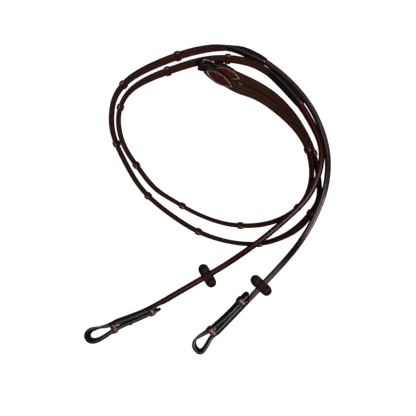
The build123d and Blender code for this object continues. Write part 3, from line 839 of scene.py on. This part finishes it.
def make_leaf(half):
    """A padded leaf over the end of the web, with an inlay and pale stitching on each face."""
    tip = LEAF_TIP_AT[half]
    end = WEBS[half].at(WEBS[half].length)
    place = Place(end.origin, -end.travel, end.up)
    skin, inlays, threads = Skin(), Skin(), Skin()
    rings, notes = [], []
    columns = 58
    for k in range(89):
        along = LEAF_NECK_AT + (tip - LEAF_NECK_AT) * k / 88
        width = leaf_half(along, tip)
        ring, ring_notes = [], []
        for face in (1, -1):
            for j in range(columns + 1):
                up = face * width * math.sin(math.pi / 2 * (2 * j / columns - 1))
                ring.append(place.to(face * leaf_height(along, up, tip), up, along))
                ring_notes.append((along, up, max(0.0, 1 - (width - abs(up)) / 0.0009)))
        rings.append(ring)
        notes.append(ring_notes)
    skin.loft(rings, notes)
    skin.piece("leaf_pad_" + half, "reins", "leaf_leather", LEAF_LEATHER, "leaf_" + half)
    middle, reach = (LEAF_NECK_AT + tip) / 2, (tip - LEAF_NECK_AT) / 2 - INLAY_BORDER
    for face in (1, -1):
        rings, notes = [], []
        for k in range(57):
            along = middle + (reach - 0.0003) * math.sin(math.pi / 2 * (k / 28 - 1))
            width = max(0.00015, inlay_half(along, tip))
            ring, ring_notes = [], []
            for level in (1, 0):
                for j in range(21):
                    up = (1 if level else -1) * width * (2 * j / 20 - 1)
                    dome = 0.0005 * rounding(width - abs(up) + 0.00005, 0.0013) if level else -0.0006
                    ring.append(place.to(face * (LEAF_THICK / 2 - 0.0006 + dome), up, along))
                    ring_notes.append((along, up, max(0.0, 1 - (width - abs(up)) / 0.0008)))
            rings.append(ring)
            notes.append(ring_notes)
        inlays.loft(rings, notes)
    inlays.piece("leaf_inlay_" + half, "reins", "red_leather", INLAY_LEATHER, "inlay_" + half)
    row = []
    for k in range(241):
        angle = 2 * math.pi * k / 240
        along = middle + (reach + 0.0009) * math.cos(angle)
        sign = 1 if math.sin(angle) >= 0 else -1
        up = (inlay_half(along, tip) + 0.0011 * abs(math.sin(angle)) ** 0.5) * sign
        row.append((along, up))
    walked, wanted = 0.0, 0.001
    for (along, up), (next_along, next_up) in zip(row, row[1:]):
        walked += math.hypot(next_along - along, next_up - up)
        if walked < wanted:
            continue
        wanted += 0.0024
        for face in (1, -1):
            height = face * (leaf_height(along, up, tip) + 0.00015)
            way = place.travel * (next_along - along) + place.up * (next_up - up)
            draw_stitch(threads, place.to(height, up, along), way, place.out * face, 0.0017, 0.00034)
    threads.piece("leaf_stitching_" + half, "reins", "thread", PINK_THREAD)


# ---- the centre buckle ----
BAR = Vector((0.0095, 0.1925, LEAF_B)) + SEAT
AWAY = math.radians(-12)
AWAY_WAY = Vector((math.cos(AWAY), math.sin(AWAY), 0))
WIRE_RADIUS = 0.0015
BUCKLE = Place(BAR, AWAY_WAY, width_direction(-AWAY_WAY, 60))


def eased(points, rounds=3):
    """A bent line with its corners cut, again and again."""
    for _ in range(rounds):
        cut = [points[0]]
        for (x, y), (next_x, next_y) in zip(points, points[1:]):
            cut.append((0.75 * x + 0.25 * next_x, 0.75 * y + 0.25 * next_y))
            cut.append((0.25 * x + 0.75 * next_x, 0.25 * y + 0.75 * next_y))
        points = cut + [points[-1]]
    return points


def draw_ribbon(skin, line, thick, ups, tip=0.0):
    """A flat strip bent along a line in the buckle's side view: along, out."""
    middle, half = (ups[0] + ups[1]) / 2, (ups[1] - ups[0]) / 2
    round_edge = min(thick * 0.35, 0.0008)
    shape = []
    for sign_out, sign_up in ((1, 1), (-1, 1), (-1, -1), (1, -1)):
        for k in range(4):
            angle = math.pi / 6 * (k if sign_out * sign_up > 0 else 3 - k)
            shape.append((sign_out * (thick / 2 - round_edge * (1 - math.cos(angle))),
                          sign_up * (half - round_edge * (1 - math.sin(angle)))))
    total = sum(math.dist(a, b) for a, b in zip(line, line[1:]))
    walked = 0.0
    rings, notes = [], []
    for k, point in enumerate(line):
        before, after = line[max(k - 1, 0)], line[min(k + 1, len(line) - 1)]
        way = Vector((after[0] - before[0], after[1] - before[1])).normalized()
        if k:
            walked += math.dist(line[k - 1], point)
        narrow = 0.2 + 0.8 * rounding(total - walked, tip) if tip else 1.0
        ring = []
        for out, up in shape:
            ring.append(BUCKLE.to(point[1] + way.x * out, middle + up * narrow, point[0] - way.y * out))
        rings.append(ring)
        notes.append([(walked, up, 1.0 if half - abs(up) < 0.0005 else 0.0) for out, up in shape])
    skin.loft(rings, notes)


def arc(middle, radius, start, end, count=12):
    """Points on an arc in the side view, by its angles in degrees."""
    found = []
    for k in range(count + 1):
        angle = math.radians(start + (end - start) * k / count)
        found.append((middle[0] + radius * math.cos(angle), middle[1] + radius * math.sin(angle)))
    return found


def make_centre():
    """Billet, chape, keeper, frame and tongue."""
    skin = Skin()
    line = [(-0.003, 0.0084), (-0.010, 0.0084)] + arc((-0.0175, 0.0057), 0.0027, 90, 270)
    line += eased([(-0.0160, 0.0030), (-0.0136, 0.0030), (-0.0024, -0.0051), (0.004, -0.0051)], 3)
    line += [(along, -0.0051) for along in (0.010, 0.016, 0.019, 0.0205, 0.0214, 0.022)]
    draw_ribbon(skin, line, 0.0024, (-0.00625, 0.00625), 0.006)
    skin.piece("buckle_billet", "reins", "black_leather", BLACK_LEATHER, "centre_billet")
    skin = Skin()
    for ups in ((-0.006, -0.0018), (0.0018, 0.006)):
        fold = [(0.006, 0.0027)] + arc((0, 0), 0.0027, 90, 270) + [(0.006, -0.0027)]
        draw_ribbon(skin, fold, 0.0018, ups)
    skin.piece("chape_fold", "reins", "black_leather", BLACK_LEATHER, "buckle_chape")
    skin = Skin()
    place = Place(BUCKLE.to(0, 0, 0.0105), BUCKLE.travel, BUCKLE.up)
    draw_band(skin, place, (-0.0067, -0.0001), (-0.00665, 0.00665), 0.0015, 0.007)
    skin.piece("billet_keeper", "reins", "brown_leather", BROWN_LEATHER, "centre_keeper")
    make_buckle()


def make_buckle():
    """A round-wire frame and a tapered tongue hooked on its heel bar."""
    corner, reach = 0.0026, 0.0085
    spine = []
    for x, y, start in ((-corner, reach - corner, 0), (corner - 0.016, reach - corner, 90),
                        (corner - 0.016, corner - reach, 180), (-corner, corner - reach, 270)):
        for k in range(9):
            angle = math.radians(start + 90 * k / 8)
            spine.append((x + corner * math.cos(angle), y + corner * math.sin(angle), angle))
    rings, notes = [], []
    for x, y, angle in spine:
        ring = []
        for k in range(14):
            turn = 2 * math.pi * k / 14
            out, beyond = WIRE_RADIUS * math.sin(turn), WIRE_RADIUS * math.cos(turn)
            ring.append(BUCKLE.to(out, y + math.sin(angle) * beyond, x + math.cos(angle) * beyond))
        rings.append(ring)
        notes.append([(x, y, 0)] * 14)
    skin = Skin()
    skin.loft(rings, notes, loop=True)
    skin.piece("wire_frame", "buckle", "steel", STEEL, "buckle_frame")
    skin = Skin()
    line = arc((0, 0), 0.0026, 60, 270, 14)
    line += [(along, -0.0026) for along in (-0.006, -0.012, -0.0155, -0.0172)]
    draw_ribbon(skin, line, 0.0019, (-0.0012, 0.0012), 0.003)
    skin.piece("wire_tongue", "tongue", "steel", STEEL, "buckle_tongue")


for half in ("a", "b"):
    make_run(half)
    make_bit_strap(half)
    make_rein_stop(half)
    make_splice(half)
    make_web(half)
    make_leaf(half)
make_centre()


# ---- floor, lights and camera ----
def make_floor():
    """A plain pale sheet."""
    mesh = bpy.data.meshes.new("floor")
    reach = 3.0
    corners = [(-reach, -reach, 0), (reach, -reach, 0), (reach, reach, 0), (-reach, reach, 0)]
    mesh.from_pydata(corners, [], [(0, 1, 2, 3)])
    finish, root, place, along, across, edge = start_finish("pale_floor")
    end_finish(root, paint(150, 150, 150), 0.9, noise(place, 40), 0.0001, 0.1, Specular_IOR_Level=0.0,
               Emission_Color=(1, 1, 1, 1), Emission_Strength=1.0)
    mesh.materials.append(finish)
    floor = bpy.data.objects.new("floor", mesh)
    bpy.context.scene.collection.objects.link(floor)
    floor.visible_diffuse = False
    floor.visible_glossy = False


def add_light(name, place, aim, size, power, tint=(1, 1, 1)):
    light = bpy.data.lights.new(name, "AREA")
    light.shape = "RECTANGLE"
    light.size, light.size_y = size
    light.energy = power
    light.color = tint
    holder = bpy.data.objects.new(name, light)
    holder.location = place
    holder.rotation_euler = (Vector(aim) - Vector(place)).to_track_quat("-Z", "Y").to_euler()
    bpy.context.scene.collection.objects.link(holder)


def make_camera():
    """Straight above, from far enough off that nothing leans."""
    across, high = 0.6032, 2.6
    camera = bpy.data.cameras.new("camera")
    camera.sensor_width = 36
    camera.lens = camera.sensor_width * (high - 0.012) / across
    camera.clip_end = 20
    holder = bpy.data.objects.new("camera", camera)
    holder.location = (0.00246 + SEAT.x, -0.0116 + SEAT.y, high)
    bpy.context.scene.collection.objects.link(holder)
    bpy.context.scene.camera = holder


make_floor()
world = bpy.data.worlds.new("studio")
bpy.context.scene.world = world
world.use_nodes = True
world.node_tree.nodes["Background"].inputs["Color"].default_value = (1, 1, 1, 1)
world.node_tree.nodes["Background"].inputs["Strength"].default_value = 0.04
add_light("key", (0.8, -0.45, 2.0), (0, 0, 0), (0.6, 0.6), 42, (1, 0.94, 0.91))
add_light("fill", (-0.7, 0.6, 1.9), (0, 0, 0), (1.0, 1.0), 14, (1, 0.95, 0.92))
bpy.context.scene.view_settings.view_transform = "Standard"
make_camera()
